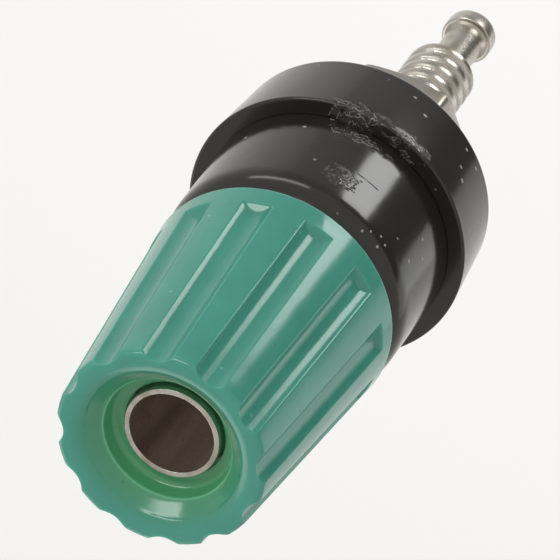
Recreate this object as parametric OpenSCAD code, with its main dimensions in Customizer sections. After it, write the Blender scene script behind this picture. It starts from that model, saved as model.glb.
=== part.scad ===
// Insulated 4 mm binding post: a fluted clamping knob on a socket post,
// a front collar and a rear disc that grip the panel, and a hex nut behind.
// The origin is the centre of the panel seat, the back face of the collar.
// +Z points out of the socket, and the threaded stud points to -Z.

/* [Socket post] */
// Bore that takes the plug pin
socket_bore_d = 4; // [3:0.05:4.2]
// Metal left between the end of the bore and the face that rests in the collar
socket_web = 1.3; // [1.3:0.1:5]
// Outside of the thin nose round the socket mouth
nose_d = 4.56; // [4.5:0.02:5]
// Depth of the nose rim below the knob's front lip
nose_recess = 1.4; // [0.5:0.1:1.6]
// Length of the thin nose, down to the knob thread
nose_len = 1.6; // [1:0.1:3]
// Major diameter of the thread that the knob runs on
knob_thread_d = 5.8; // [5.4:0.1:6]
// Cross hole that takes a bare wire
wire_hole_d = 2; // [1:0.1:2.4]
// Gap between the collar face and the wire hole
wire_hole_gap = 0.6; // [0.3:0.1:1.5]
// Width across the flats of the hexagonal root in the collar
root_af = 6.4; // [6.1:0.1:7]

/* [Rear stud] */
// Major diameter of the rear thread
stud_d = 3.35; // [2.9:0.05:3.6]
// Length of the stud from the panel seat to the end of its thread
stud_len = 15; // [12:0.5:30]
// Length of the bevel at the end of the thread
stud_bevel = 0.35; // [0.1:0.05:0.6]
// Diameter of the neck of the solder end
neck_d = 1.84; // [1.4:0.02:2]
// Length from the thread to the end of the solder end
solder_end_len = 4; // [3:0.1:6]
// Diameter of the head of the solder end
head_d = 2.46; // [2.2:0.02:2.8]
// Length of the head of the solder end
head_len = 1; // [0.6:0.1:1.5]

/* [Knob] */
// Length of the knob
knob_len = 13.1; // [12.5:0.1:14]
// Diameter of the knob at its back edge
knob_back_d = 11.86; // [11.4:0.02:12.4]
// Diameter that the tapered side would reach at the front
knob_front_d = 9.92; // [9.8:0.02:10.6]
// Radius of the outer edge of the front lip
lip_outer_r = 0.3; // [0.15:0.05:0.4]
// Radius of the inner edge of the front lip
lip_inner_r = 1; // [0.6:0.05:1.2]
// Slope of the bowl round the socket, from the front plane
bowl_angle = 45; // [40:1:55]
// Diameter of the edge at the bottom of the bowl
bowl_edge_d = 6.12; // [5.8:0.02:6.3]
// Depth of the bowl's bottom edge below the front lip
bowl_depth = 0.97; // [0.8:0.01:1.1]
// Depth of the well round the nose, below the bowl's edge
well_depth = 0.85; // [0.5:0.05:1.1]
// Rounding of the back edge
knob_back_r = 0.12; // [0.05:0.01:0.3]

/* [Flutes] */
// Number of flutes round the knob
flute_count = 12; // [8:1:14]
// Radius of a flute's hollow
flute_r = 1.04; // [0.9:0.02:1.6]
// Depth of a flute at the front
flute_depth_front = 0.38; // [0.2:0.02:0.5]
// Depth of a flute where it ends
flute_depth_back = 0.34; // [0.16:0.02:0.4]
// Plain band between the flutes and the back edge
plain_band = 1.1; // [0.6:0.05:3]
// Length of the slope that closes a flute
flute_end_slope = 0.3; // [0.1:0.05:1]
// Turn of the knob about the post
knob_turn = 1.8; // [0:0.1:29.9]

/* [Threaded insert] */
// Outside of the metal ring that carries the knob's thread
insert_d = 8.2; // [7.6:0.1:8.6]
// Length of the insert
insert_len = 7.8; // [5:0.1:8.2]
// Depth of the groove that keeps it in the knob
insert_groove = 0.3; // [0.1:0.05:0.4]
// Width of that groove
insert_groove_w = 2; // [1:0.1:3]

/* [Front collar] */
// Outside of the collar
collar_d = 11.9; // [11.4:0.1:12.6]
// Length of the collar in front of the panel
collar_len = 6.8; // [6:0.1:9]
// Rounding of the collar's front edge
collar_front_r = 1.8; // [0.3:0.1:1.9]
// Rounding of the collar's back edge
collar_back_r = 0.1; // [0.05:0.01:0.3]
// Thickness left between the root and the panel seat
collar_floor = 1.6; // [1:0.1:2]
// Outside of the spigot that goes through the panel
spigot_d = 8; // [7:0.1:9]
// Length of the spigot
spigot_len = 2.4; // [1:0.1:2.8]

/* [Rear disc] */
// Diameter of the disc at its front edge
disc_front_d = 13.5; // [12.6:0.1:15]
// Diameter of the disc at its back edge
disc_back_d = 12.78; // [12:0.02:14]
// Thickness of the disc
disc_len = 4.3; // [3.6:0.1:6]
// Rounding of the disc's front edge
disc_front_r = 0.12; // [0.05:0.01:0.3]
// Rounding of the disc's back edge
disc_back_r = 0.22; // [0.1:0.01:0.4]

/* [Washer and nut] */
// Outside of the flat washer
washer_d = 8; // [6:0.1:9]
// Thickness of the washer
washer_t = 0.8; // [0.4:0.1:1.2]
// Width across the flats of the nut
nut_af = 7; // [5.5:0.1:8]
// Thickness of the nut
nut_t = 3.5; // [2:0.1:4]
// Turn of the nut about the stud
nut_turn = 18; // [0:1:59]

/* [Clearances] */
// Radial gap of a thread that runs in another
thread_gap = 0.05; // [0.02:0.01:0.08]
// Gap of a piece that passes through a hole with room to spare
free_gap = 0.12; // [0.08:0.01:0.2]
// Gap round the hexagonal root in its pocket, on each flat
root_gap = 0.05; // [0.02:0.01:0.1]
// Gap between the insert and the knob round it
insert_gap = 0.02; // [0.01:0.01:0.05]

/* [Hidden] */
$fn = 96;
// a small overlap that makes a cut pass clean through a face
cut = 0.5;
// steps in a rounded edge of a turned outline
arc_steps = 8;
// angle of the tip that a twist drill leaves
drill_tip = 118;

// heights above the panel seat
knob_z = collar_len;
knob_top = knob_z + knob_len;
nose_height = knob_top - nose_recess;
knob_thread_top = nose_height - nose_len;
socket_end_z = collar_floor + socket_web;
bowl_edge_z = knob_top - bowl_depth;
well_z = bowl_edge_z - well_depth;
knob_ledge_z = knob_thread_top + free_gap;
wire_hole_z = collar_len + wire_hole_gap + wire_hole_d / 2;
root_top = collar_len - free_gap;
insert_top = knob_z + insert_len;
neck_z = -stud_len;
head_z = -stud_len - solder_end_len;
washer_z = -disc_len - washer_t;
nut_z = washer_z - nut_t;

// the side of the knob and its taper
taper = (knob_back_d - knob_front_d) / 2 / knob_len;
draft = atan(taper);
function side_r(z) = knob_back_d / 2 - (z - knob_z) * taper;

// radius of the corners of a hexagon from its width across the flats
function hex_corner_r(af) = af / 2 / cos(30);
// points of an arc about [x, y], from angle a to angle b
function arc(x, y, r, a, b) =
    [for (i = [0 : arc_steps]) [x, y] + r * [cos(a + (b - a) * i / arc_steps), sin(a + (b - a) * i / arc_steps)]];

// a turned solid between two radii, with a rounded edge at each end of its outside
module turned(d_top, d_bottom, z_top, z_bottom, r_top, r_bottom) {
    rotate_extrude()
        polygon(concat(
            [[0, z_bottom]],
            arc(d_bottom / 2 - r_bottom, z_bottom + r_bottom, r_bottom, -90, 0),
            arc(d_top / 2 - r_top, z_top - r_top, r_top, 0, 90),
            [[0, z_top]]
        ));
}

// a straight hole or pin along the axis
module shaft(d, z_bottom, z_top) {
    translate([0, 0, z_bottom])
        cylinder(d = d, h = z_top - z_bottom);
}

module socket_post() {
    rim = (nose_d - socket_bore_d) / 2;
    edge = rim / 5;
    bevel = (knob_thread_d - nose_d) / 4;
    head_edge = head_len / 8;
    flare = (head_d - neck_d) / 4;
    tip = socket_bore_d / 2 / tan(drill_tip / 2);
    color("silver")
    difference() {
        union() {
            // nose, knob thread and root in one outline, down to the stud
            rotate_extrude()
                polygon([
                    [0, collar_floor],
                    [knob_thread_d / 2, collar_floor],
                    [knob_thread_d / 2, knob_thread_top - bevel],
                    [knob_thread_d / 2 - bevel, knob_thread_top],
                    [nose_d / 2, knob_thread_top],
                    [nose_d / 2, nose_height - edge],
                    [nose_d / 2 - edge, nose_height],
                    [0, nose_height]
                ]);
            translate([0, 0, collar_floor])
                cylinder(r = hex_corner_r(root_af), h = root_top - collar_floor, $fn = 6);
            // stud, neck and the head that a wire is soldered round
            rotate_extrude()
                polygon([
                    [0, collar_floor],
                    [stud_d / 2, collar_floor],
                    [stud_d / 2, neck_z + stud_bevel],
                    [stud_d / 2 - stud_bevel, neck_z],
                    [neck_d / 2, neck_z],
                    [neck_d / 2, head_z + head_len + 2 * flare],
                    [neck_d / 2 + flare / 2, head_z + head_len],
                    [head_d / 2 - head_edge, head_z + head_len],
                    [head_d / 2, head_z + head_len - head_edge],
                    [head_d / 2, head_z + head_edge],
                    [head_d / 2 - head_edge, head_z],
                    [0, head_z]
                ]);
        }
        // blind socket bore with its drilled tip
        shaft(socket_bore_d, socket_end_z, nose_height + cut);
        translate([0, 0, socket_end_z - tip])
            cylinder(d1 = 0, d2 = socket_bore_d, h = tip);
        // cross hole for a wire, just in front of the collar
        translate([0, 0, wire_hole_z])
            rotate([90, 0, 0])
                cylinder(d = wire_hole_d, h = knob_thread_d + 2 * cut, center = true);
    }
}

module front_collar() {
    color([0.16, 0.15, 0.15])
    difference() {
        union() {
            turned(collar_d, collar_d, collar_len, 0, collar_front_r, collar_back_r);
            turned(spigot_d, spigot_d, collar_floor, -spigot_len, collar_back_r, collar_back_r);
        }
        translate([0, 0, collar_floor])
            cylinder(r = hex_corner_r(root_af + 2 * root_gap), h = collar_len, $fn = 6);
        shaft(stud_d + 2 * free_gap, -spigot_len - cut, collar_floor + cut);
    }
}

// half outline of the insert, grown by a gap; the knob's pocket uses the same points
function insert_side(gap) =
    let (
        r = insert_d / 2 + gap,
        middle = knob_z + insert_len / 2,
        half = insert_groove_w / 2 - gap
    )
    [
        [r, knob_z],
        [r, middle - half - insert_groove],
        [r - insert_groove, middle - half],
        [r - insert_groove, middle + half],
        [r, middle + half + insert_groove],
        [r, insert_top + gap]
    ];

module knob_insert() {
    bore_r = knob_thread_d / 2 + thread_gap;
    color("gold")
    rotate_extrude()
        polygon(concat([[bore_r, knob_z]], insert_side(0), [[bore_r, insert_top]]));
}

// one flute: a round hollow along the tapered side, closed at the back by a slope
module flute() {
    end_z = knob_z + plain_band;
    r_front = side_r(knob_top) - flute_depth_front;
    r_back = side_r(end_z) - flute_depth_back;
    lean = atan((r_back - r_front) / (knob_top - end_z));
    end_angle = atan(flute_end_slope / flute_depth_back);
    difference() {
        translate([r_back, 0, end_z])
            rotate([0, -lean, 0])
                translate([flute_r, 0, -cut])
                    cylinder(r = flute_r, h = knob_len + cut);
        // everything behind the sloping end stays
        translate([r_back, 0, end_z + flute_end_slope])
            rotate([0, end_angle, 0])
                translate([-knob_len, -knob_len / 2, -knob_len])
                    cube([2 * knob_len, knob_len, knob_len]);
    }
}

module knob() {
    // rounded outer edge of the lip, tangent to the tapered side
    outer_z = knob_top - lip_outer_r;
    outer_x = side_r(outer_z) - lip_outer_r / cos(draft);
    // rounded inner edge of the lip, tangent to the bowl
    inner_x = bowl_edge_d / 2 + lip_inner_r * sin(bowl_angle)
        + (bowl_depth - lip_inner_r * (1 - cos(bowl_angle))) / tan(bowl_angle);
    // rounding between the floor and the wall of the well
    well_r = min(well_depth, bowl_edge_d / 2 - nose_d / 2 - free_gap) / 2;
    post_r = knob_thread_d / 2 + free_gap;
    color("mediumseagreen")
    difference() {
        rotate_extrude()
            polygon(concat(
                insert_side(insert_gap),
                [
                    [post_r, insert_top + insert_gap],
                    [post_r, knob_ledge_z],
                    [nose_d / 2 + free_gap, knob_ledge_z],
                    [nose_d / 2 + free_gap, well_z]
                ],
                arc(bowl_edge_d / 2 - well_r, well_z + well_r, well_r, -90, 0),
                [[bowl_edge_d / 2, bowl_edge_z]],
                arc(inner_x, knob_top - lip_inner_r, lip_inner_r, 90 + bowl_angle, 90),
                arc(outer_x, outer_z, lip_outer_r, 90, draft),
                arc(knob_back_d / 2 - knob_back_r, knob_z + knob_back_r, knob_back_r, 0, -90)
            ));
        for (i = [0 : flute_count - 1])
            rotate([0, 0, knob_turn + i * 360 / flute_count])
                flute();
    }
}

module rear_disc() {
    color([0.16, 0.15, 0.15])
    difference() {
        turned(disc_front_d, disc_back_d, 0, -disc_len, disc_front_r, disc_back_r);
        // recess that the spigot stands in
        shaft(spigot_d + 2 * free_gap, -spigot_len - free_gap, cut);
        shaft(stud_d + 2 * free_gap, -disc_len - cut, cut);
    }
}

module washer() {
    color("silver")
    difference() {
        shaft(washer_d, washer_z, -disc_len);
        shaft(stud_d + 2 * free_gap, washer_z - cut, -disc_len + cut);
    }
}

module hex_nut() {
    corner = hex_corner_r(nut_af);
    // height that the bevelled corners lose at each face
    bevel = (corner - nut_af / 2) * tan(30);
    color("silver")
    difference() {
        intersection() {
            translate([0, 0, nut_z])
                rotate([0, 0, nut_turn])
                    cylinder(r = corner, h = nut_t, $fn = 6);
            rotate_extrude()
                polygon([
                    [0, nut_z],
                    [nut_af / 2, nut_z],
                    [corner, nut_z + bevel],
                    [corner, nut_z + nut_t - bevel],
                    [nut_af / 2, nut_z + nut_t],
                    [0, nut_z + nut_t]
                ]);
        }
        shaft(stud_d + 2 * thread_gap, nut_z - cut, nut_z + nut_t + cut);
    }
}

socket_post();
front_collar();
knob_insert();
knob();
rear_disc();
washer();
hex_nut();
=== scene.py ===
import math

import bpy
import numpy as np
from mathutils import Matrix, Vector


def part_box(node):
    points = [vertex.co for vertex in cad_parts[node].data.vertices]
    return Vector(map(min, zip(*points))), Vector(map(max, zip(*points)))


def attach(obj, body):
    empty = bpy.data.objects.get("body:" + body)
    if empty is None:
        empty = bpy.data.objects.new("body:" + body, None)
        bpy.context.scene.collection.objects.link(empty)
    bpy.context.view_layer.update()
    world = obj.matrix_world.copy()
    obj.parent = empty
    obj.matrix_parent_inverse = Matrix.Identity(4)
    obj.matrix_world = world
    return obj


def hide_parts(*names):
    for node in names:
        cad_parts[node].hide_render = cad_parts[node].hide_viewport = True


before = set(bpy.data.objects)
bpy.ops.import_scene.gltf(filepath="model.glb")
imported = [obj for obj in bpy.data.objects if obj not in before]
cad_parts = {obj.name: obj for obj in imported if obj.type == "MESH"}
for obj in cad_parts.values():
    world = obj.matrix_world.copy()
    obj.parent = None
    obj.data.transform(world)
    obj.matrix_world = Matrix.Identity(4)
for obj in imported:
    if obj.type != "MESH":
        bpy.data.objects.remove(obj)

bl_info = {
    "name": "Binding post",
    "version": (1, 0, 0),
    "blender": (4, 5, 0),
    "location": "View3D > Sidebar > Binding post",
    "description": "Insulated 4 mm binding post with a fluted clamping knob",
    "category": "Add Mesh",
}

MM = 0.001
SHARP_ANGLE = math.radians(38)
WIRE_HOLE_Z = 8.4
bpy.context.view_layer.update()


def node_span(name):
    """Lowest height, highest height and largest radius of a CAD node, in millimetres."""
    low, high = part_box(name)
    return low.z / MM, high.z / MM, max(high.x, high.y) / MM


KNOB_BACK, KNOB_TOP, _ = node_span("knob")
POST_END, NOSE_TOP, _ = node_span("socket_post")
SPIGOT_END, COLLAR_TOP, COLLAR_R = node_span("front_collar")
DISC_BACK, _, DISC_R = node_span("rear_disc")
NUT_BACK, NUT_TOP, _ = node_span("hex_nut")


# ---------------------------------------------------------------- sizes and colours

def length(name, text, value):
    """A length in metres, given in millimetres."""
    return bpy.props.FloatProperty(
        name=name, description=text, default=value * MM, unit="LENGTH", subtype="DISTANCE", precision=5)


def tint(name, text, value):
    """A linear colour."""
    return bpy.props.FloatVectorProperty(
        name=name, description=text, default=value, subtype="COLOR", size=3, min=0, max=1)


class PostSizes(bpy.types.PropertyGroup):
    thread_pitch: length("Thread pitch", "Travel of one turn on either thread", 0.8)
    stud_radius: length("Stud radius", "Crest radius of the rear thread", 1.675)
    stud_depth: length("Stud thread depth", "Depth of the rear thread", 0.27)
    knob_thread_depth: length("Knob thread depth", "Depth of the thread under the knob", 0.3)
    bore_radius: length("Bore radius", "Radius of the plug's bore", 2.0)
    nose_radius: length("Nose radius", "Outside of the thin nose", 2.28)
    wire_hole_radius: length("Wire hole radius", "Radius of the cross hole", 1.0)
    plate: tint("Plate", "Nickel plate", (0.52, 0.485, 0.44))


class KnobSizes(bpy.types.PropertyGroup):
    flutes: bpy.props.IntProperty(name="Flutes", description="Number of flutes", default=12, min=3)
    turn: bpy.props.FloatProperty(
        name="Turn", description="Turn of the flutes about the axis",
        default=math.radians(1.8), unit="ROTATION", subtype="ANGLE")
    flute_radius: length("Flute radius", "Radius of a flute's hollow", 1.04)
    depth_front: length("Depth at the front", "Depth of a flute at the lip", 0.38)
    depth_back: length("Depth at the back", "Depth of a flute where it ends", 0.34)
    plain_band: length("Plain band", "Band behind the flutes", 1.1)
    end_slope: length("End slope", "Length of the slope that closes a flute", 0.3)
    crest_round: length("Crest rounding", "Rounding of the flutes' edges", 0.07)
    plastic: tint("Green plastic", "Body colour", (0.052, 0.268, 0.205))


class CollarSizes(bpy.types.PropertyGroup):
    front_round: length("Front rounding", "Rounding of the collar's front edge", 1.8)
    edge_round: length("Edge rounding", "Rounding of the sharp edges", 0.1)
    plastic: tint("Black plastic", "Body colour", (0.013, 0.012, 0.011))


class NutSizes(bpy.types.PropertyGroup):
    across_flats: length("Across flats", "Width across the flats", 7.0)
    turn: bpy.props.FloatProperty(
        name="Turn", description="Turn of the nut about the stud",
        default=math.radians(18), unit="ROTATION", subtype="ANGLE")


# ---------------------------------------------------------------- surfaces

def grid_mesh(name, points, start_pole=None, end_pole=None, ring=False):
    """Mesh of a grid of points, rows by columns, that closes round the axis.

    Row i and column j make the quad (i, j), (i, j+1), (i+1, j+1), (i+1, j). A ring closes its
    last row on its first; an open grid ends in a pole at each given height.
    """
    rows, columns = points.shape[:2]
    i = np.arange(rows if ring else rows - 1)[:, None]
    j = np.arange(columns)[None, :]
    i2, j2 = (i + 1) % rows, (j + 1) % columns
    quads = np.stack([i * columns + j, i * columns + j2, i2 * columns + j2, i2 * columns + j], -1)
    faces = quads.reshape(-1, 4).tolist()
    verts = points.reshape(-1, 3)
    j, j2 = j[0], j2[0]
    if start_pole is not None:
        faces += np.stack([0 * j + len(verts), j2, j], -1).tolist()
        verts = np.vstack([verts, [[0, 0, start_pole]]])
    if end_pole is not None:
        last = (rows - 1) * columns
        faces += np.stack([last + j, last + j2, 0 * j + len(verts)], -1).tolist()
        verts = np.vstack([verts, [[0, 0, end_pole]]])
    mesh = bpy.data.meshes.new(name)
    mesh.from_pydata((verts * MM).tolist(), [], faces)
    mesh.polygons.foreach_set("use_smooth", np.ones(len(mesh.polygons), bool))
    mesh.set_sharp_from_angle(angle=SHARP_ANGLE)
    mesh.update()
    return mesh


def piece(name, mesh, body, node, material):
    """An object that stands for a CAD node and rides on its body."""
    obj = bpy.data.objects.new(name, mesh)
    bpy.context.scene.collection.objects.link(obj)
    obj.data.materials.append(material)
    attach(obj, body)
    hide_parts(node)
    return obj


def arc(r, z, radius, start, end, steps=7):
    """Points of a circle about (r, z) in the half plane, from one angle in degrees to another."""
    a = np.radians(np.linspace(start, end, steps))
    return np.stack([r + radius * np.cos(a), z + radius * np.sin(a)], -1)


def line(p, q, steps):
    """Evenly spaced points from p to q, without q."""
    t = np.linspace(0, 1, steps, endpoint=False)[:, None]
    return (1 - t) * np.array(p, float) + t * np.array(q, float)


def turned(outline, angles):
    """Radius, height and angle of an outline carried round the axis, as three full arrays."""
    radius = np.repeat(outline[:, :1], len(angles), 1)
    height = np.repeat(outline[:, 1:], len(angles), 1)
    return radius, height, np.repeat(angles[None, :], len(outline), 0)


def to_points(radius, height, angle):
    """x = r cos a, y = r sin a, z = height."""
    return np.stack([radius * np.cos(angle), radius * np.sin(angle), height], -1)


def soft_min(a, b, k):
    """The smaller of two values, rounded over where they are closer than k."""
    h = np.clip(0.5 + 0.5 * (b - a) / k, 0, 1)
    return b * (1 - h) + a * h - k * h * (1 - h)


def hexagon(angle, across_flats):
    """Radius of a hexagon with a corner at angle 0: half the flats over the cosine from the flat."""
    return across_flats / 2 / np.cos(np.mod(angle, math.pi / 3) - math.pi / 6)


def ridge(angle, height, pitch):
    """Right-handed thread, 0 on the crest and 1 in the crease.

    t runs from -1 to 1 over one pitch of height / pitch - angle / turn; the ridge falls as
    1 - sqrt(1 - t squared), like a strand of rope.
    """
    t = 2 * np.mod(height / pitch - angle / (2 * math.pi), 1) - 1
    return 1 - np.sqrt(1 - (0.985 * t) ** 2)


def waves(angle, height, seed, count=9):
    """Gentle unevenness between -1 and 1: a sum of seeded sine waves round and along the axis."""
    rng = np.random.default_rng(seed)
    total = 0 * angle
    for _ in range(count):
        around, along, phase = rng.integers(2, 46), rng.uniform(0.4, 9), rng.uniform(0, 2 * math.pi)
        total = total + np.sin(around * angle + along * height + phase) / count
    return total


def dents(angle, height, places):
    """Sum of small hollows: depth times a bell curve of the distance in degrees and millimetres."""
    total = 0 * angle
    for at, z, wide, tall, depth in places:
        turn = np.degrees(angle) - at
        turn = (turn + 180) % 360 - 180
        total = total + depth * np.exp(-(turn / wide) ** 2 - ((height - z) / tall) ** 2)
    return total


# ---------------------------------------------------------------- nodes

class Board:
    """A node tree with short ways to add nodes, set inputs and link them."""

    def __init__(self, tree):
        self.tree = tree

    def add(self, kind, inputs=None, **settings):
        """Adds a node; an input that is given a socket is linked to it."""
        node = self.tree.nodes.new(kind)
        for key, value in settings.items():
            setattr(node, key, value)
        for key, value in (inputs or {}).items():
            if isinstance(value, bpy.types.NodeSocket):
                self.tree.links.new(value, node.inputs[key])
            else:
                node.inputs[key].default_value = value
        return node

    def math(self, operation, a, b=0.0, clamp=False):
        """One Math node."""
        return self.add("ShaderNodeMath", {0: a, 1: b}, operation=operation, use_clamp=clamp).outputs[0]

    def scale(self, vector, by):
        """A vector multiplied by three numbers."""
        return self.add("ShaderNodeVectorMath", {0: vector, 1: by}, operation="MULTIPLY").outputs[0]

    def noise(self, vector, scale, detail=3.0, roughness=0.55):
        """Noise value."""
        return self.add("ShaderNodeTexNoise", {
            "Vector": vector, "Scale": scale, "Detail": detail, "Roughness": roughness}).outputs["Fac"]

    def ramp(self, value, low, high, start=0.0, end=1.0):
        """Smooth step of value between low and high."""
        return self.add("ShaderNodeMapRange", {
            "Value": value, "From Min": low, "From Max": high, "To Min": start, "To Max": end,
        }, interpolation_type="SMOOTHSTEP").outputs[0]

    def blend(self, mask, a, b):
        """Colour a where the mask is 0 and b where it is 1."""
        mix = self.tree.nodes.new("ShaderNodeMix")
        mix.data_type = "RGBA"
        for index, value in ((0, mask), (6, a), (7, b)):
            if isinstance(value, bpy.types.NodeSocket):
                self.tree.links.new(value, mix.inputs[index])
            else:
                mix.inputs[index].default_value = value
        return mix.outputs[2]


def group(name, inputs, outputs, build):
    """A shader node group, made once: build gets its board and input sockets and returns its outputs."""
    if name in bpy.data.node_groups:
        return bpy.data.node_groups[name]
    tree = bpy.data.node_groups.new(name, "ShaderNodeTree")
    for label, kind, default in inputs:
        socket = tree.interface.new_socket(label, in_out="INPUT", socket_type=kind)
        if default is not None:
            socket.default_value = default
    for label in outputs:
        tree.interface.new_socket(label, in_out="OUTPUT", socket_type="NodeSocketFloat")
    board = Board(tree)
    entry = board.add("NodeGroupInput")
    results = build(board, entry.outputs)
    board.add("NodeGroupOutput", dict(zip(outputs, results)))
    return tree


FLOAT, VECTOR = "NodeSocketFloat", "NodeSocketVector"


def place_group():
    """Angle in degrees, height and radius in millimetres of a point."""
    def build(b, i):
        xyz = b.add("ShaderNodeSeparateXYZ", {0: i["Point"]}).outputs
        angle = b.math("MULTIPLY", b.math("ARCTAN2", xyz["Y"], xyz["X"]), 180 / math.pi)
        square = b.math("ADD", b.math("MULTIPLY", xyz["X"], xyz["X"]), b.math("MULTIPLY", xyz["Y"], xyz["Y"]))
        return (angle, b.math("MULTIPLY", xyz["Z"], 1000.0),
                b.math("MULTIPLY", b.math("SQRT", square), 1000.0))
    return group("place on the part", [("Point", VECTOR, None)], ["Angle", "Height", "Radius"], build)


def patch_group():
    """Ragged patch: 1 inside an ellipse in angle and height, broken up by noise."""
    def build(b, i):
        u = b.math("DIVIDE", b.math("SUBTRACT", i["Angle"], i["At Angle"]), i["Half Angle"])
        w = b.math("DIVIDE", b.math("SUBTRACT", i["Height"], i["At Height"]), i["Half Height"])
        far = b.math("SQRT", b.math("ADD", b.math("MULTIPLY", u, u), b.math("MULTIPLY", w, w)))
        grain = b.math("MULTIPLY", b.math("SUBTRACT", i["Grain"], 0.5), i["Ragged"])
        inside = b.math("ADD", b.math("SUBTRACT", 1.0, far), grain)
        return (b.math("MULTIPLY", b.ramp(inside, 0.05, 0.35), i["Strength"]),)
    return group("scuff patch", [
        ("Angle", FLOAT, 0.0), ("Height", FLOAT, 0.0), ("Grain", FLOAT, 0.5), ("At Angle", FLOAT, 0.0),
        ("At Height", FLOAT, 0.0), ("Half Angle", FLOAT, 5.0), ("Half Height", FLOAT, 0.3),
        ("Ragged", FLOAT, 3.0), ("Strength", FLOAT, 1.0)], ["Mask"], build)


def speck_group():
    """Sparse round specks: the core of some cells of a Voronoi pattern."""
    def build(b, i):
        cells = b.add("ShaderNodeTexVoronoi", {"Vector": i["Point"], "Scale": i["Scale"]})
        near = b.math("SUBTRACT", i["Size"], cells.outputs["Distance"])
        chance = b.add("ShaderNodeSeparateColor", {0: cells.outputs["Color"]}).outputs[0]
        chosen = b.math("GREATER_THAN", i["Share"], chance)
        return (b.math("MULTIPLY", b.ramp(near, 0.0, 0.04), chosen),)
    return group("specks", [("Point", VECTOR, None), ("Scale", FLOAT, 900.0), ("Size", FLOAT, 0.1),
                            ("Share", FLOAT, 0.1)], ["Mask"], build)


def lathe_group():
    """Fine turning lines round the axis and faint blotches."""
    def build(b, i):
        place = b.add("ShaderNodeGroup", {"Point": i["Point"]}, node_tree=place_group()).outputs
        across = b.add("ShaderNodeCombineXYZ", {
            0: b.math("MULTIPLY", place["Radius"], i["Fineness"]),
            1: b.math("MULTIPLY", place["Height"], i["Fineness"]), 2: 0.0}).outputs[0]
        lines = b.noise(across, 1.0, 4.0, 0.7)
        blotch = b.noise(i["Point"], 700.0, 4.0, 0.6)
        return lines, blotch
    return group("turning marks", [("Point", VECTOR, None), ("Fineness", FLOAT, 12.0)],
                 ["Lines", "Blotches"], build)


def new_material(name):
    """An empty material with its Principled shader, its board and its Object coordinates."""
    material = bpy.data.materials.new(name)
    material.use_nodes = True
    tree = material.node_tree
    tree.nodes.clear()
    board = Board(tree)
    shader = board.add("ShaderNodeBsdfPrincipled")
    board.add("ShaderNodeOutputMaterial", {"Surface": shader.outputs[0]})
    point = board.add("ShaderNodeTexCoord").outputs["Object"]
    return material, board, shader, point


def wire(board, shader, **sockets):
    """Links or sets the shader's sockets; underscores stand for spaces."""
    for key, value in sockets.items():
        socket = shader.inputs[key.replace("_", " ")]
        if isinstance(value, bpy.types.NodeSocket):
            board.tree.links.new(value, socket)
        else:
            socket.default_value = value


def bump(board, height, strength, distance):
    """A Bump node's normal."""
    return board.add("ShaderNodeBump", {
        "Height": height, "Strength": strength, "Distance": distance}).outputs["Normal"]


def rgba(colour, by=1.0):
    """A linear colour with its alpha, made lighter or darker."""
    return (*[c * by for c in colour], 1.0)


# angle, height, half width in degrees, half height in millimetres, strength
COLLAR_SCUFFS = (
    (103, 0.75, 13, 0.45, 0.9), (111.5, 0.9, 4, 0.4, 1.0), (102, 0.9, 3.5, 0.3, 1.0),
    (90, 3.1, 6, 0.06, 0.5), (112, 3.6, 1.1, 0.1, 0.6), (98, 3.9, 9, 0.8, 0.6),
    (64, 5.3, 0.8, 0.08, 1.0), (68, 5.2, 0.7, 0.07, 1.0), (66, 5.7, 0.8, 0.08, 1.0),
    (73, 5.5, 0.6, 0.07, 1.0), (76, 5.8, 0.7, 0.08, 1.0), (61, 4.2, 0.7, 0.07, 0.8),
    (49, 4.1, 1.2, 0.12, 1.0), (43, 2.8, 1.2, 0.1, 1.0), (50, 2.3, 1.0, 0.1, 1.0),
    (126, 1.2, 1.0, 0.1, 1.0), (154, 1.6, 1.2, 0.1, 1.0), (117, 0.1, 1.5, 0.12, 1.0),
)
DISC_SCUFFS = (
    (84, -0.35, 13, 0.4, 0.8), (107, -0.2, 11, 0.42, 0.9), (107, 0.05, 10, 0.2, 0.8),
    (56, -1.8, 1.2, 0.12, 1.0), (85, -2.7, 1.2, 0.1, 1.0), (60, -2.3, 1.0, 0.1, 1.0),
    (53, -3.6, 1.2, 0.1, 1.0), (62, -3.6, 1.0, 0.1, 1.0), (92.5, -3.4, 1.0, 0.1, 0.7),
)


RUBBED_GREY = (0.27, 0.255, 0.24, 1)
# Painted shade: the bowl and well greens are deeper greens painted where the hollow is shaded. Painted
# highlight: the edge green is a lighter line painted along the bowl's edge.
BOWL_SHADE_GREEN, WELL_SHADE_GREEN, EDGE_HIGHLIGHT_GREEN = (0.062, 0.270, 0.145), (0.058, 0.245, 0.110), (0.20, 0.50, 0.38)
BUBBLE_GREEN, PIT_GREEN, RIM_BAND_GREEN = (0.22, 0.50, 0.42), (0.012, 0.07, 0.05), (0.42, 0.62, 0.54)
WELL_GLOW, BORE_GLOW = (0.012, 0.050, 0.024), (0.036, 0.026, 0.022)
BRASS = (0.72, 0.52, 0.25)


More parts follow.
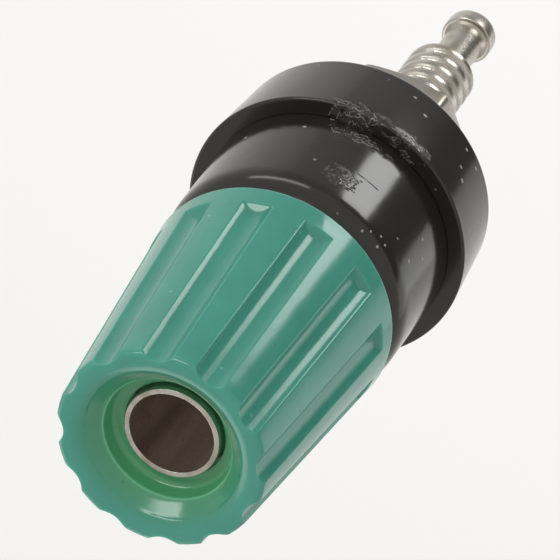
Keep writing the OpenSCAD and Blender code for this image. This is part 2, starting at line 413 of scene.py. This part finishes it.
def black_plastic(name, colour, scuffs):
    """Moulded black plastic: a faint waviness, scuffed edges, dust and rubbed specks."""
    material, b, shader, point = new_material(name)
    place = b.add("ShaderNodeGroup", {"Point": point}, node_tree=place_group()).outputs
    grain = b.noise(b.scale(point, (1.0, 1.0, 1.6)), 1500.0, 4.0, 0.6)
    folds = b.noise(b.scale(point, (1.0, 1.0, 1.4)), 1900.0, 3.0, 0.6)
    ridges = b.math("ABSOLUTE", b.math("SUBTRACT", folds, 0.5))
    hairlines = b.ramp(ridges, 0.030, 0.006)
    crumple = specks = None
    for at, z, wide, tall, strength in scuffs:
        broad = wide > 3
        mask = b.add("ShaderNodeGroup", {
            "Angle": place["Angle"], "Height": place["Height"], "Grain": grain, "At Angle": at,
            "At Height": z, "Half Angle": wide, "Half Height": tall, "Strength": strength,
            "Ragged": 3.0 if broad else 0.6}, node_tree=patch_group()).outputs[0]
        if broad:
            crumple = mask if crumple is None else b.math("MAXIMUM", crumple, mask)
        else:
            specks = mask if specks is None else b.math("MAXIMUM", specks, mask)
    scratched = b.math("ADD", b.math("MULTIPLY", hairlines, 0.6), 0.06)
    worn = b.math("MAXIMUM", b.math("MULTIPLY", crumple, scratched), specks, True)
    dust = b.add("ShaderNodeGroup", {
        "Point": point, "Scale": 1700.0, "Size": 0.12, "Share": 0.07}, node_tree=speck_group()).outputs[0]
    lint = b.add("ShaderNodeGroup", {
        "Point": b.scale(point, (1.0, 1.0, 0.35)), "Scale": 900.0, "Size": 0.1, "Share": 0.06},
        node_tree=speck_group()).outputs[0]
    dusty = b.math("MAXIMUM", b.math("MULTIPLY", dust, 0.45), b.math("MULTIPLY", lint, 0.6))
    marks = b.math("MAXIMUM", worn, dusty, True)
    cloud = b.noise(point, 260.0, 3.0, 0.5)
    body = b.blend(cloud, rgba(colour, 0.8), rgba(colour, 1.35))
    wire(b, shader,
         Base_Color=b.blend(marks, body, RUBBED_GREY),
         Roughness=b.math("ADD", b.ramp(marks, 0.0, 1.0, 0.12, 0.45), b.math("MULTIPLY", cloud, 0.06)),
         Normal=bump(b, b.math("ADD", b.math("MULTIPLY", cloud, 0.25),
                               b.math("MULTIPLY", crumple, b.math("MULTIPLY", folds, 1.6))),
                     0.6, 0.00012))
    shader.inputs["IOR"].default_value = 1.5
    return material


def green_plastic(colour):
    """Cloudy green plastic with bubbles and dust: painted shade deepens the bowl and the well, a painted
    highlight lines the bowl's edge, a painted glow lights the well, and a lighter, rougher broken band runs
    round the back rim.
    """
    material, b, shader, point = new_material("green_plastic_look")
    place = b.add("ShaderNodeGroup", {"Point": point}, node_tree=place_group()).outputs
    cloud = b.noise(point, 420.0, 4.0, 0.55)
    fine = b.noise(point, 3200.0, 3.0, 0.6)
    bowl = b.math("MULTIPLY", b.ramp(place["Radius"], 4.3, 3.2), b.ramp(place["Height"], 18.2, 18.9))
    well = b.math("MULTIPLY", b.ramp(place["Radius"], 3.35, 3.05), b.ramp(place["Height"], 19.2, 18.9))
    body = b.blend(cloud, rgba(colour, 0.86), rgba(colour, 1.16))
    # painted shade: deeper greens in the bowl and the well
    body = b.blend(bowl, body, rgba(BOWL_SHADE_GREEN))
    body = b.blend(well, body, rgba(WELL_SHADE_GREEN))
    # painted highlight: a lighter line painted along the bowl's edge, where it catches the light
    edge = b.math("MULTIPLY", b.ramp(place["Radius"], 3.14, 3.09), b.ramp(place["Height"], 18.84, 18.88))
    edge = b.math("MULTIPLY", edge, b.ramp(place["Radius"], 3.02, 3.05))
    body = b.blend(b.math("MULTIPLY", edge, 0.3), body, rgba(EDGE_HIGHLIGHT_GREEN))
    bubbles = b.add("ShaderNodeGroup", {
        "Point": point, "Scale": 1300.0, "Size": 0.13, "Share": 0.13}, node_tree=speck_group()).outputs[0]
    dust = b.add("ShaderNodeGroup", {
        "Point": point, "Scale": 2300.0, "Size": 0.15, "Share": 0.05}, node_tree=speck_group()).outputs[0]
    body = b.blend(b.math("MULTIPLY", bubbles, 0.35), body, rgba(BUBBLE_GREEN))
    body = b.blend(b.math("MULTIPLY", dust, 0.5), body, rgba(PIT_GREEN))
    # a lighter, rougher band, broken up by noise, along the back rim
    rim_band = b.math("MULTIPLY", b.ramp(place["Height"], KNOB_BACK + 0.14, KNOB_BACK + 0.02),
                   b.ramp(b.noise(point, 1500.0), 0.40, 0.60))
    body = b.blend(rim_band, body, rgba(RIM_BAND_GREEN))
    rough = b.math("ADD", b.math("MULTIPLY", fine, 0.08), b.ramp(rim_band, 0.0, 1.0, 0.12, 0.5))
    height = b.math("ADD", b.math("MULTIPLY", cloud, 0.6),
                    b.math("ADD", b.math("MULTIPLY", fine, 0.12), b.math("MULTIPLY", bubbles, 0.25)))
    # painted glow: emission round the well stands in for light that comes through the plastic
    glow = b.blend(b.math("MULTIPLY", well, b.ramp(place["Height"], 16.9, 17.6)),
                   (0, 0, 0, 1), rgba(WELL_GLOW))
    wire(b, shader, Base_Color=body, Roughness=rough, Normal=bump(b, height, 0.3, 0.00005),
         Emission_Color=glow)
    shader.inputs["Emission Strength"].default_value = 1.0
    shader.inputs["IOR"].default_value = 1.5
    shader.inputs["Subsurface Weight"].default_value = 0.35
    shader.inputs["Subsurface Radius"].default_value = (0.35, 1.0, 0.8)
    shader.inputs["Subsurface Scale"].default_value = 0.0009
    return material


def plated(name, colour, roughness, fineness):
    """Turned metal: fine lines round the axis, blotches of tarnish, a few dark pits and a painted glow inside
    the bore.
    """
    material, b, shader, point = new_material(name)
    marks = b.add("ShaderNodeGroup", {"Point": point, "Fineness": fineness}, node_tree=lathe_group()).outputs
    pits = b.add("ShaderNodeGroup", {
        "Point": point, "Scale": 1900.0, "Size": 0.16, "Share": 0.12}, node_tree=speck_group()).outputs[0]
    tarnish = b.ramp(marks["Blotches"], 0.42, 0.68)
    body = b.blend(tarnish, rgba(colour), rgba((colour[0] * 0.72, colour[1] * 0.70, colour[2] * 0.64)))
    body = b.blend(b.math("MULTIPLY", pits, 0.6), body, rgba(colour, 0.25))
    height = b.math("ADD", b.math("MULTIPLY", marks["Lines"], 0.7),
                    b.math("MULTIPLY", marks["Blotches"], 0.5))
    # painted glow: faint emission streaks on the bore wall stand in for light that the deep bore throws about
    # inside itself
    place = b.add("ShaderNodeGroup", {"Point": point}, node_tree=place_group()).outputs
    deep = b.math("MULTIPLY", b.ramp(place["Radius"], 2.03, 2.0), b.ramp(place["Height"], 1.6, 1.9))
    streak = b.ramp(b.noise(b.scale(point, (1.0, 1.0, 0.08)), 420.0), 0.38, 0.62, 0.25, 1.0)
    glow = b.blend(b.math("MULTIPLY", deep, streak), (0, 0, 0, 1), rgba(BORE_GLOW))
    shader.inputs["Emission Strength"].default_value = 1.0
    wire(b, shader,
         Base_Color=body, Metallic=1.0, Emission_Color=glow,
         Roughness=b.math("ADD", b.math("MULTIPLY", marks["Lines"], 0.10),
                          b.ramp(marks["Blotches"], 0.35, 0.75, roughness, roughness + 0.14)),
         Normal=bump(b, height, 0.35, 0.00003))
    return material


# ---------------------------------------------------------------- shapes

def post_mesh(p):
    """The post as one turned grid, from the pole of the solder end to the tip of the bore.

    The outline runs up the outside, over the nose and down the bore. Radius = outline, less the
    thread's depth times the ridge on both threads, and a hexagon over the root in the collar.
    """
    pitch, stud = p.thread_pitch / MM, p.stud_radius / MM
    bore, nose = p.bore_radius / MM, p.nose_radius / MM
    neck, head, thread = 0.92, 1.23, 2.9
    end = POST_END
    stud_end, root_low, root_top, thread_top = -15.0, 1.6, 6.68, NOSE_TOP - 1.6
    outline = np.vstack([
        [[0.35, end], [0.7, end]],
        arc(head - 0.34, end + 0.34, 0.34, -90, 0, 8),
        [[head, end + 0.6]],
        arc(head - 0.1, end + 0.9, 0.1, 0, 90, 4),
        [[neck + 0.14, end + 1.0], [neck + 0.05, end + 1.12], [neck, end + 1.3]],
        line((neck, end + 1.5), (neck, stud_end - 0.12), 12),
        [[neck, stud_end - 0.1], [neck + 0.03, stud_end - 0.02], [neck + 0.1, stud_end]],
        [[1.2, stud_end], [stud - 0.36, stud_end]],
        line((stud, stud_end + 0.02), (stud, -0.2), 370),
        line((stud, -0.2), (stud, root_low - 0.02), 8),
        [[stud, root_low], [3.0, root_low]],
        line((3.3, root_low), (3.3, root_top), 6),
        [[3.3, root_top], [2.95, root_top]],
        line((thread, root_top + 0.05), (thread, thread_top - 0.35), 210),
        [[thread, thread_top - 0.33], [thread - 0.33, thread_top], [nose + 0.1, thread_top]],
        line((nose, thread_top + 0.02), (nose, NOSE_TOP - 0.06), 8),
        arc(nose - 0.06, NOSE_TOP - 0.06, 0.06, 0, 90, 5),
        arc(bore + 0.05, NOSE_TOP - 0.05, 0.05, 90, 180, 5),
        line((bore, NOSE_TOP - 0.15), (bore, 2.9), 40),
        [[bore, 2.9], [1.4, 2.54], [0.7, 2.12], [0.3, 1.88]],
    ])
    angles = np.linspace(0, 2 * math.pi, 144, endpoint=False)
    r, z, a = turned(outline, angles)
    row = np.arange(len(outline))[:, None]
    outside = row < np.argmax(outline[:, 1])
    crest = ridge(a, z, pitch)
    stud_part = outside & (z > stud_end) & (z < root_low - 0.01) & (r > 1.5)
    fade = np.clip((z - stud_end) / 0.35, 0, 1)
    r = np.where(stud_part, np.minimum(r - p.stud_depth / MM * crest, stud - 0.36 * (1 - fade)), r)
    knob_part = outside & (z > root_top) & (z < thread_top - 0.34) & (r > 2.5)
    lead = np.clip((z - root_top) / 0.6, 0, 1) * np.clip((thread_top - 0.34 - z) / 0.5, 0, 1)
    r = np.where(knob_part, r - p.knob_thread_depth / MM * np.maximum(crest, 1 - lead), r)
    root = outside & (z >= root_low) & (z <= root_top) & (r > 3.2)
    r = np.where(root, hexagon(a, 6.4) - 0.005, r)
    rim = ~outside & (z > NOSE_TOP - 0.3)
    burr = 0.035 * np.clip(waves(a, 0 * z, 5), 0, 1) + 0.02 * waves(a, 3 * z, 6)
    r = np.where(rim, r + np.abs(burr) * np.exp(-((z - NOSE_TOP) / 0.12) ** 2), r)
    r = np.where(stud_part, r - 0.012 * np.abs(waves(a, z, 8)), r)
    return grid_mesh("post", to_points(r, z, a), start_pole=end, end_pole=1.7)


def cut_wire_hole(obj, radius, height):
    """Cuts a round hole along Y through a piece: a many-sided prism taken away from it."""
    sides, reach = 48, 4.0
    angles = np.linspace(0, 2 * math.pi, sides, endpoint=False)
    side = np.array([-reach, reach])[:, None]
    x, z = radius * np.cos(angles), height + radius * np.sin(angles)
    points = np.stack([x + 0 * side, side + 0 * x, z + 0 * side], -1)
    mesh = bpy.data.meshes.new("wire_hole_tool")
    j = np.arange(sides)
    quads = np.stack([j, sides + j, sides + (j + 1) % sides, (j + 1) % sides], -1).tolist()
    faces = quads + [j.tolist(), (2 * sides - 1 - j).tolist()]
    mesh.from_pydata((points.reshape(-1, 3) * MM).tolist(), [], faces)
    tool = bpy.data.objects.new("wire_hole_tool", mesh)
    bpy.context.scene.collection.objects.link(tool)
    cutter = obj.modifiers.new("wire hole", "BOOLEAN")
    cutter.operation = "DIFFERENCE"
    cutter.solver = "EXACT"
    cutter.object = tool
    graph = bpy.context.evaluated_depsgraph_get()
    result = bpy.data.meshes.new_from_object(obj.evaluated_get(graph))
    obj.modifiers.remove(cutter)
    obj.data = result
    bpy.data.objects.remove(tool)
    obj.data.set_sharp_from_angle(angle=SHARP_ANGLE)


def knob_mesh(k):
    """The fluted knob as one closed ring of an outline, in columns that follow the flutes' edges.

    Each flute is a circle of the flute's radius at the distance (side - depth + radius), so
    radius = distance cos(angle) - sqrt(flute radius squared - (distance sin(angle)) squared),
    closed behind by a plane that climbs to the side. The two are joined by a rounded minimum.
    """
    flute, turn = k.flute_radius / MM, k.turn
    front, back = k.depth_front / MM, k.depth_back / MM
    back_r, front_r, back_round = 5.93, 4.96, 0.12
    lip_outer, lip_inner, bowl_slope = 0.3, 1, 45
    bowl_r, bowl_depth, well_depth, well_round, edge_round = 3.06, 0.97, 0.85, 0.33, 0.06
    nose_hole, post_hole, ledge_z, insert_top = 2.4, 3.02, 17.02, 14.62
    insert_r, groove_r, groove_low, groove_high, groove_slope = 4.12, 3.82, 9.72, 11.68, 0.3
    base_z, flat_r, first_row = 6.8, 5.79, 7.05
    start = KNOB_BACK + k.plain_band / MM
    slope = k.end_slope / MM / back
    taper = (back_r - front_r) / (KNOB_TOP - KNOB_BACK)

    def side(z):
        return back_r - (z - KNOB_BACK) * taper

    def on_side(z):
        return side(z), z

    top, edge_z = KNOB_TOP, KNOB_TOP - bowl_depth
    well_z, rise = edge_z - well_depth, math.radians(bowl_slope)
    inner = bowl_r + lip_inner * math.sin(rise) + (bowl_depth - lip_inner * (1 - math.cos(rise)))
    outer_z = top - lip_outer
    outer = side(outer_z) - lip_outer
    lean = math.degrees(math.atan(taper))
    fluted = np.vstack([
        arc(back_r - back_round, KNOB_BACK + back_round, back_round, -90, 0, 6),
        line(on_side(first_row), on_side(start - 0.1), 8),
        line(on_side(start - 0.1), on_side(start + 0.45), 22),
        line(on_side(start + 0.45), on_side(outer_z - 0.1), 30),
        arc(outer, outer_z, lip_outer, lean, 90, 11),
        line((outer - 0.03, top), (inner + 0.02, top), 5),
        arc(inner, top - lip_inner, lip_inner, 90, 90 + bowl_slope, 12),
    ])
    hollow = np.vstack([
        line((inner - 0.72, top - 0.31), (bowl_r + 0.04, edge_z + 0.04), 8),
        arc(bowl_r - 0.05, edge_z - 0.02, edge_round, 45, 0, 4),
        line((bowl_r, edge_z - edge_round), (bowl_r, well_z + well_round), 4),
        arc(bowl_r - well_round, well_z + well_round, well_round, 0, -90, 7),
        line((nose_hole + 0.2, well_z), (nose_hole + 0.02, well_z), 2),
        line((nose_hole, well_z - 0.02), (nose_hole, ledge_z), 4),
        line((nose_hole, ledge_z), (post_hole, ledge_z), 3),
        line((post_hole, ledge_z), (post_hole, insert_top), 4),
        line((post_hole, insert_top), (insert_r, insert_top), 3),
        line((insert_r, insert_top), (insert_r, groove_high + groove_slope), 3),
        [[groove_r, groove_high], [groove_r, groove_low], [insert_r, groove_low - groove_slope]],
        line((insert_r, groove_low - groove_slope - 0.12), (insert_r, base_z), 3),
        line((insert_r, base_z), (flat_r, base_z), 4),
    ])
    outline = np.vstack([fluted, hollow])
    # columns over one flute's share, from -1 to 1, close together where the flute's edge runs
    half = np.concatenate([
        np.linspace(0, 0.42, 7, endpoint=False), np.linspace(0.42, 0.58, 8, endpoint=False),
        np.linspace(0.58, 1, 4)])
    u = np.concatenate([-half[:0:-1], half[:-1]])
    z = outline[:, 1][:, None]
    ratio = np.clip((z - start) / (top - start), 0, 1)
    depth = back + (front - back) * ratio
    centre = side(z) - depth + flute
    reach = np.arccos(np.clip((centre ** 2 + side(z) ** 2 - flute ** 2) / (2 * centre * side(z)), -1, 1))
    sector = math.pi / k.flutes
    au, sign = np.abs(u)[None, :], np.sign(u)[None, :]
    local = sign * np.where(au < 0.5, reach * au / 0.5, reach + (sector - reach) * (au - 0.5) / 0.5)
    turns = np.arange(k.flutes) * 2 * sector
    a = (local[:, None, :] + turns[None, :, None]).reshape(len(outline), -1) + turn
    local = np.tile(local, (1, k.flutes))
    r = np.repeat(outline[:, :1], a.shape[1], 1)
    sine = np.clip(flute ** 2 - (centre * np.sin(local)) ** 2, 0, None)
    inside = flute ** 2 > (centre * np.sin(local)) ** 2
    cut = np.where(inside, centre * np.cos(local) - np.sqrt(sine), 99.0)
    # the plane that closes the flute rises from the side's depth to the side itself
    end_plane = side(start) - (z - start) / slope
    cut = -soft_min(-cut, -end_plane, 0.05)
    rows = (np.arange(len(outline)) < len(fluted))[:, None]
    r = np.where(rows & (z > start - 0.2), soft_min(r, cut, k.crest_round / MM), r)
    z = np.repeat(z, a.shape[1], 1)
    skin = rows & (outline[:, 1][:, None] > KNOB_BACK + 0.2)
    r = r - np.where(skin, 0.012 * np.abs(waves(a, 0.6 * z, 21)), 0)
    return grid_mesh("knob", to_points(r, z, a), ring=True)


def collar_mesh(c):
    """The front collar as a closed ring: spigot, back face, side, rounded front and hexagon pocket.

    Radius = outline less small dents at the back edge; the pocket's rows follow the hexagon.
    """
    big, e, radius = COLLAR_R, c.edge_round / MM, c.front_round / MM
    outline = np.vstack([
        arc(4.0 - e, SPIGOT_END + e, e, -90, 0, 4),
        line((4.0, SPIGOT_END + 0.3), (4.0, -0.02), 3),
        [[4.0, 0.0], [4.8, 0.0], [5.4, 0.0], [5.75, 0.0]],
        arc(big - e, e, e, -90, 0, 5),
        line((big, 0.16), (big, 1.6), 16),
        line((big, 1.6), (big, COLLAR_TOP - radius), 8),
        arc(big - radius, COLLAR_TOP - radius, radius, 0, 90, 14),
        line((4.0, COLLAR_TOP), (3.78, COLLAR_TOP), 2),
        [[3.2, COLLAR_TOP]],
        line((3.2, COLLAR_TOP - 0.03), (3.2, 1.63), 6),
        [[3.2, 1.6], [1.9, 1.6]],
        line((1.795, 1.58), (1.795, SPIGOT_END), 6),
        line((1.795, SPIGOT_END), (3.8, SPIGOT_END), 4),
    ])
    r, z, a = turned(outline, np.linspace(0, 2 * math.pi, 360, endpoint=False))
    r = np.where(np.isclose(r, 3.2), hexagon(a, 6.5), r)
    chips = dents(a, z, (
        (102, 0.1, 2.5, 0.25, 0.06), (106, 0.0, 1.6, 0.2, 0.05), (111.5, 0.15, 2.2, 0.3, 0.08),
        (117, 0.05, 1.5, 0.15, 0.05), (96, 0.05, 2.0, 0.15, 0.04), (230, 0.05, 2.2, 0.2, 0.05)))
    r = np.where((r > 5.6), r - chips - 0.008 * np.abs(waves(a, z, 31)), r)
    return grid_mesh("collar", to_points(r, z, a), ring=True)


def disc_mesh():
    """The rear disc as a closed ring: tapered side, flat front with a recess, and the stud's hole."""
    back_r, back_round, front_round = 6.39, 0.22, 0.12
    recess_r, recess_z, hole_r = 4.12, -2.52, 1.795
    outline = np.vstack([
        arc(back_r - back_round, DISC_BACK + back_round, back_round, -90, 0, 6),
        line((back_r + 0.005, DISC_BACK + 0.3), (DISC_R - 0.085, -1.0), 10),
        line((DISC_R - 0.085, -1.0), (DISC_R - 0.01, -0.14), 14),
        arc(DISC_R - front_round, -front_round, front_round, 0, 90, 7),
        line((DISC_R - 0.16, 0.0), (5.9, 0.0), 10),
        line((5.8, 0.0), (recess_r + 0.03, 0.0), 5),
        line((recess_r, -0.03), (recess_r, recess_z), 4),
        line((recess_r, recess_z), (hole_r + 0.005, recess_z), 4),
        line((hole_r, recess_z - 0.03), (hole_r, DISC_BACK), 3),
        line((hole_r, DISC_BACK), (6.1, DISC_BACK), 6),
    ])
    r, z, a = turned(outline, np.linspace(0, 2 * math.pi, 360, endpoint=False))
    edge = (r > 6.2) & (z > -1.2)
    chips = dents(a, z, (
        (98, 0.0, 2.0, 0.25, 0.10), (102, -0.05, 1.6, 0.3, 0.08), (107, 0.0, 2.4, 0.35, 0.12),
        (112, 0.0, 1.8, 0.25, 0.09), (116, 0.0, 1.4, 0.2, 0.06), (84, 0.0, 5.0, 0.12, 0.04),
        (76, 0.0, 2.0, 0.12, 0.03), (262, 0.0, 2.5, 0.2, 0.06)))
    rough = np.abs(waves(a * 2, 7 * z, 41)) * np.exp(-((np.degrees(a) - 107) / 10) ** 2) * 0.07
    r = np.where(edge, r - chips - rough * np.exp(-(z / 0.4) ** 2), r)
    drop = dents(a, 6.6 - r, ((107, 0, 8, 0.35, 0.10), (99, 0, 3, 0.2, 0.06)))
    z = np.where(edge & (z > -0.2), z - drop * (0.4 + np.abs(waves(2 * a, 9 * r, 43))), z)
    return grid_mesh("disc", to_points(r, z, a), ring=True)


def nut_mesh(n, p):
    """The hex nut as a closed ring: a polar hexagon under two chamfer cones, and a threaded bore."""
    flats = n.across_flats / MM
    corner = flats / 2 / math.cos(math.pi / 6)
    fall = (corner - flats / 2) * math.tan(math.pi / 6)
    low, high = NUT_BACK, NUT_TOP
    bore = p.stud_radius / MM + 0.05
    outline = np.vstack([
        [[flats / 2 - 0.02, low]],
        line((corner, low + 0.01), (corner, low + fall + 0.05), 10),
        line((corner, low + fall + 0.05), (corner, high - fall - 0.05), 5),
        line((corner, high - fall - 0.05), (corner, high - 0.01), 10),
        [[flats / 2 - 0.02, high], [2.6, high], [bore + 0.22, high]],
        line((bore, high - 0.2), (bore, low + 0.2), 60),
        [[bore + 0.22, low], [2.6, low]],
    ])
    angles = np.linspace(0, 2 * math.pi, 216, endpoint=False) + n.turn
    r, z, a = turned(outline, angles)
    cone = flats / 2 + np.minimum(z - low, high - z) / math.tan(math.pi / 6)
    body = soft_min(hexagon(a - n.turn, flats), corner - 0.05 + 0 * a, 0.06)
    r = np.where(np.isclose(r, corner), np.minimum(body, cone), r)
    r = np.where(np.isclose(r, bore), r + 0.18 * ridge(a, z, p.thread_pitch / MM), r)
    return grid_mesh("nut", to_points(r, z, a), ring=True)


# ---------------------------------------------------------------- operators

def settings():
    """The part's sizes and colours."""
    return bpy.context.scene.binding_post


class BINDINGPOST_OT_post(bpy.types.Operator):
    """Makes the metal post with both threads, the nose, the wire hole and the solder end"""
    bl_idname = "binding_post.post"
    bl_label = "Socket post"

    def execute(self, context):
        sizes = settings().post
        material = plated("nickel_post_look", sizes.plate, 0.17, 14.0)
        obj = piece("post", post_mesh(sizes), "base", "socket_post", material)
        cut_wire_hole(obj, sizes.wire_hole_radius / MM, WIRE_HOLE_Z)
        return {"FINISHED"}


class BINDINGPOST_OT_knob(bpy.types.Operator):
    """Makes the fluted green knob"""
    bl_idname = "binding_post.knob"
    bl_label = "Fluted knob"

    def execute(self, context):
        sizes = settings().knob
        piece("fluted_knob", knob_mesh(sizes), "knob", "knob", green_plastic(sizes.plastic))
        return {"FINISHED"}


class BINDINGPOST_OT_collars(bpy.types.Operator):
    """Makes the black front collar and rear disc"""
    bl_idname = "binding_post.collars"
    bl_label = "Collar and disc"

    def execute(self, context):
        sizes = settings().collar
        piece("collar", collar_mesh(sizes), "base", "front_collar",
              black_plastic("collar_look", sizes.plastic, COLLAR_SCUFFS))
        piece("disc", disc_mesh(), "panel_clamp", "rear_disc",
              black_plastic("disc_look", sizes.plastic, DISC_SCUFFS))
        return {"FINISHED"}


class BINDINGPOST_OT_fastening(bpy.types.Operator):
    """Makes the hex nut and finishes the washer and the knob's insert"""
    bl_idname = "binding_post.fastening"
    bl_label = "Nut, washer and insert"

    def execute(self, context):
        plate = settings().post.plate
        piece("nut", nut_mesh(settings().nut, settings().post), "nut", "hex_nut",
              plated("nickel_nut_look", [0.95 * c for c in plate], 0.2, 9.0))
        finishes = (("washer", plated("nickel_washer_look", plate, 0.24, 7.0)),
                    ("knob_insert", plated("brass_insert_look", BRASS, 0.22, 9.0)))
        for node, finish in finishes:
            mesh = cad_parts[node].data
            mesh.materials.clear()
            mesh.materials.append(finish)
        return {"FINISHED"}


def direction(azimuth, elevation):
    """Unit vector at an azimuth from +X and an elevation, in degrees."""
    a, e = math.radians(azimuth), math.radians(elevation)
    return Vector((math.cos(a) * math.cos(e), math.sin(a) * math.cos(e), math.sin(e)))


WHITE, WARM = (1, 1, 1), (1.0, 0.98, 0.95)
SKY_GLOW = 0.74
# Each lamp: name, azimuth and elevation seen from the point it faces, distance from there, width,
# height, glow, the point it faces, colour. Angles are in degrees and lengths in millimetres.
LAMPS = (
    ("floor light", 0, 90, 30, 220, 160, 0.19, (0, -80, -75), WHITE),
    ("window low", 81.5, -44.4, 66, 22, 27, 5.8, (0, 0, 5), WHITE),
    ("window high", 140, 33, 110, 84, 22, 7.0, (0, 0, 19), WHITE),
    ("crescent", 138, -13, 80, 62, 9, 4.0, (0, 0, 6), WHITE),
    ("top panel", -98, 27, 62, 60, 36, 1.0, (0, 0, 5), WARM),
    ("side panel right", 8, -38, 90, 40, 70, 0.55, (0, 0, 5), WHITE),
)
# The card: name, first and last angle, near and far distance, height, darkest and lightest grey.
CARD = ("shade card", 18, 142, 22, 190, -62, (0.15, 0.56))


def soft_light(name, azimuth, elevation, distance, wide, tall, glow, centre, colour):
    """A rectangular lamp that faces a point; glow is its brightness, sizes in millimetres."""
    lamp = bpy.data.lights.new(name, "AREA")
    lamp.shape = "RECTANGLE"
    lamp.size, lamp.size_y = wide * MM, tall * MM
    lamp.energy = glow * math.pi * lamp.size * lamp.size_y
    lamp.color = colour
    obj = bpy.data.objects.new(name, lamp)
    bpy.context.scene.collection.objects.link(obj)
    way = direction(azimuth, elevation)
    place = Vector(centre) * MM + way * distance * MM
    obj.matrix_world = Matrix.Translation(place) @ way.to_track_quat("Z", "Y").to_matrix().to_4x4()
    obj.visible_camera = False


def shade_card(name, first, last, near, far, height, shades):
    """A grey card low beside the part, seen only in its gloss, darker at its first edge.

    A sector between two angles and two distances; x = d cos a, y = d sin a at one height.
    """
    angle = np.radians(np.linspace(first, last, 33))[None, :]
    distance = np.array([near, far], float)[:, None]
    points = to_points(distance + 0 * angle, height + 0 * angle + 0 * distance, angle + 0 * distance)
    steps = angle.shape[1]
    j = np.arange(steps - 1)
    mesh = bpy.data.meshes.new(name)
    mesh.from_pydata((points.reshape(-1, 3) * MM).tolist(), [],
                     np.stack([j, steps + j, steps + j + 1, j + 1], -1).tolist())
    obj = bpy.data.objects.new(name.replace(" ", "_"), mesh)
    bpy.context.scene.collection.objects.link(obj)
    material, b, shader, point = new_material(name)
    place = b.add("ShaderNodeGroup", {"Point": point}, node_tree=place_group()).outputs
    dark, light = shades
    wire(b, shader, Roughness=0.9, Base_Color=b.blend(
        b.ramp(place["Angle"], first + 10, last, 0.0, 1.0), (dark, dark, dark, 1), (light, light, light, 1)))
    shader.inputs["Specular IOR Level"].default_value = 0.0
    mesh.materials.append(material)
    obj.visible_camera = False
    obj.visible_shadow = False


# The camera's line of sight leans TILT from the part's axis and the picture is turned by ROLL. The
# line passes SHIFT_RIGHT and SHIFT_UP from AIM, the middle of the socket's mouth, in millimetres.
SENSOR, FOCAL_LENGTH = 36.0, 578.6
TILT, ROLL = math.radians(38.174), math.atan2(0.5997, 0.80023)
AIM, SHIFT_RIGHT, SHIFT_UP, CAMERA_DISTANCE = Vector((0, 0, 18.5)), 4.778, 6.760, 395.85


class BINDINGPOST_OT_stage(bpy.types.Operator):
    """Sets the pale floor, the soft lights and the camera"""
    bl_idname = "binding_post.stage"
    bl_label = "Stage"

    def execute(self, context):
        scene = context.scene
        half, floor_z = 2.0, -0.075
        mesh = bpy.data.meshes.new("floor")
        mesh.from_pydata([(-half, -half, floor_z), (half, -half, floor_z), (half, half, floor_z),
                          (-half, half, floor_z)], [], [(0, 1, 2, 3)])
        floor = bpy.data.objects.new("floor", mesh)
        scene.collection.objects.link(floor)
        material, b, shader, point = new_material("pale_floor")
        wire(b, shader, Base_Color=b.blend(b.noise(point, 3.0), rgba((0.90, 0.90, 0.90)),
                                           rgba((0.92, 0.92, 0.92))), Roughness=0.9)
        shader.inputs["Specular IOR Level"].default_value = 0.0
        mesh.materials.append(material)
        world = bpy.data.worlds.new("studio")
        scene.world = world
        world.use_nodes = True
        background = world.node_tree.nodes["Background"]
        background.inputs[0].default_value = (1.0, 0.99, 0.97, 1)
        background.inputs[1].default_value = SKY_GLOW
        shade_card(*CARD)
        for lamp in LAMPS:
            soft_light(*lamp)
        lens = bpy.data.cameras.new("camera")
        lens.sensor_width, lens.lens = SENSOR, FOCAL_LENGTH
        lens.clip_start, lens.clip_end = 0.01, 10.0
        camera = bpy.data.objects.new("camera", lens)
        scene.collection.objects.link(camera)
        across = Vector((0, math.cos(TILT), -math.sin(TILT)))
        right = math.cos(ROLL) * Vector((1, 0, 0)) + math.sin(ROLL) * across
        up = -math.sin(ROLL) * Vector((1, 0, 0)) + math.cos(ROLL) * across
        back = Vector((0, math.sin(TILT), math.cos(TILT)))
        place = AIM + SHIFT_RIGHT * right + SHIFT_UP * up + CAMERA_DISTANCE * back
        turn = Matrix((right, up, back)).transposed()
        camera.matrix_world = Matrix.Translation(place * MM) @ turn.to_4x4()
        scene.camera = camera
        scene.view_settings.view_transform = "Standard"
        return {"FINISHED"}


class BindingPostSettings(bpy.types.PropertyGroup):
    post: bpy.props.PointerProperty(type=PostSizes, name="Post", description="Sizes of the post")
    knob: bpy.props.PointerProperty(type=KnobSizes, name="Knob", description="Sizes of the knob")
    collar: bpy.props.PointerProperty(type=CollarSizes, name="Collar", description="Sizes of the collar")
    nut: bpy.props.PointerProperty(type=NutSizes, name="Nut", description="Sizes of the nut")


OPERATORS = (BINDINGPOST_OT_stage, BINDINGPOST_OT_post, BINDINGPOST_OT_knob, BINDINGPOST_OT_collars,
             BINDINGPOST_OT_fastening)


class BINDINGPOST_PT_panel(bpy.types.Panel):
    """Lists the steps that make the part"""
    bl_idname = "BINDINGPOST_PT_panel"
    bl_label = "Binding post"
    bl_space_type = "VIEW_3D"
    bl_region_type = "UI"
    bl_category = "Binding post"

    def draw(self, context):
        for operator in OPERATORS:
            self.layout.operator(operator.bl_idname)


CLASSES = (PostSizes, KnobSizes, CollarSizes, NutSizes, BindingPostSettings, *OPERATORS,
           BINDINGPOST_PT_panel)


def register():
    """Registers the classes and hangs the settings on the scene."""
    for cls in CLASSES:
        bpy.utils.register_class(cls)
    bpy.types.Scene.binding_post = bpy.props.PointerProperty(type=BindingPostSettings)


def unregister():
    """Takes the settings and the classes away again."""
    del bpy.types.Scene.binding_post
    for cls in reversed(CLASSES):
        bpy.utils.unregister_class(cls)


def main():
    """Makes the stage and every piece in order."""
    register()
    bpy.ops.binding_post.stage()
    bpy.ops.binding_post.post()
    bpy.ops.binding_post.knob()
    bpy.ops.binding_post.collars()
    bpy.ops.binding_post.fastening()


if __name__ == "__main__":
    main()
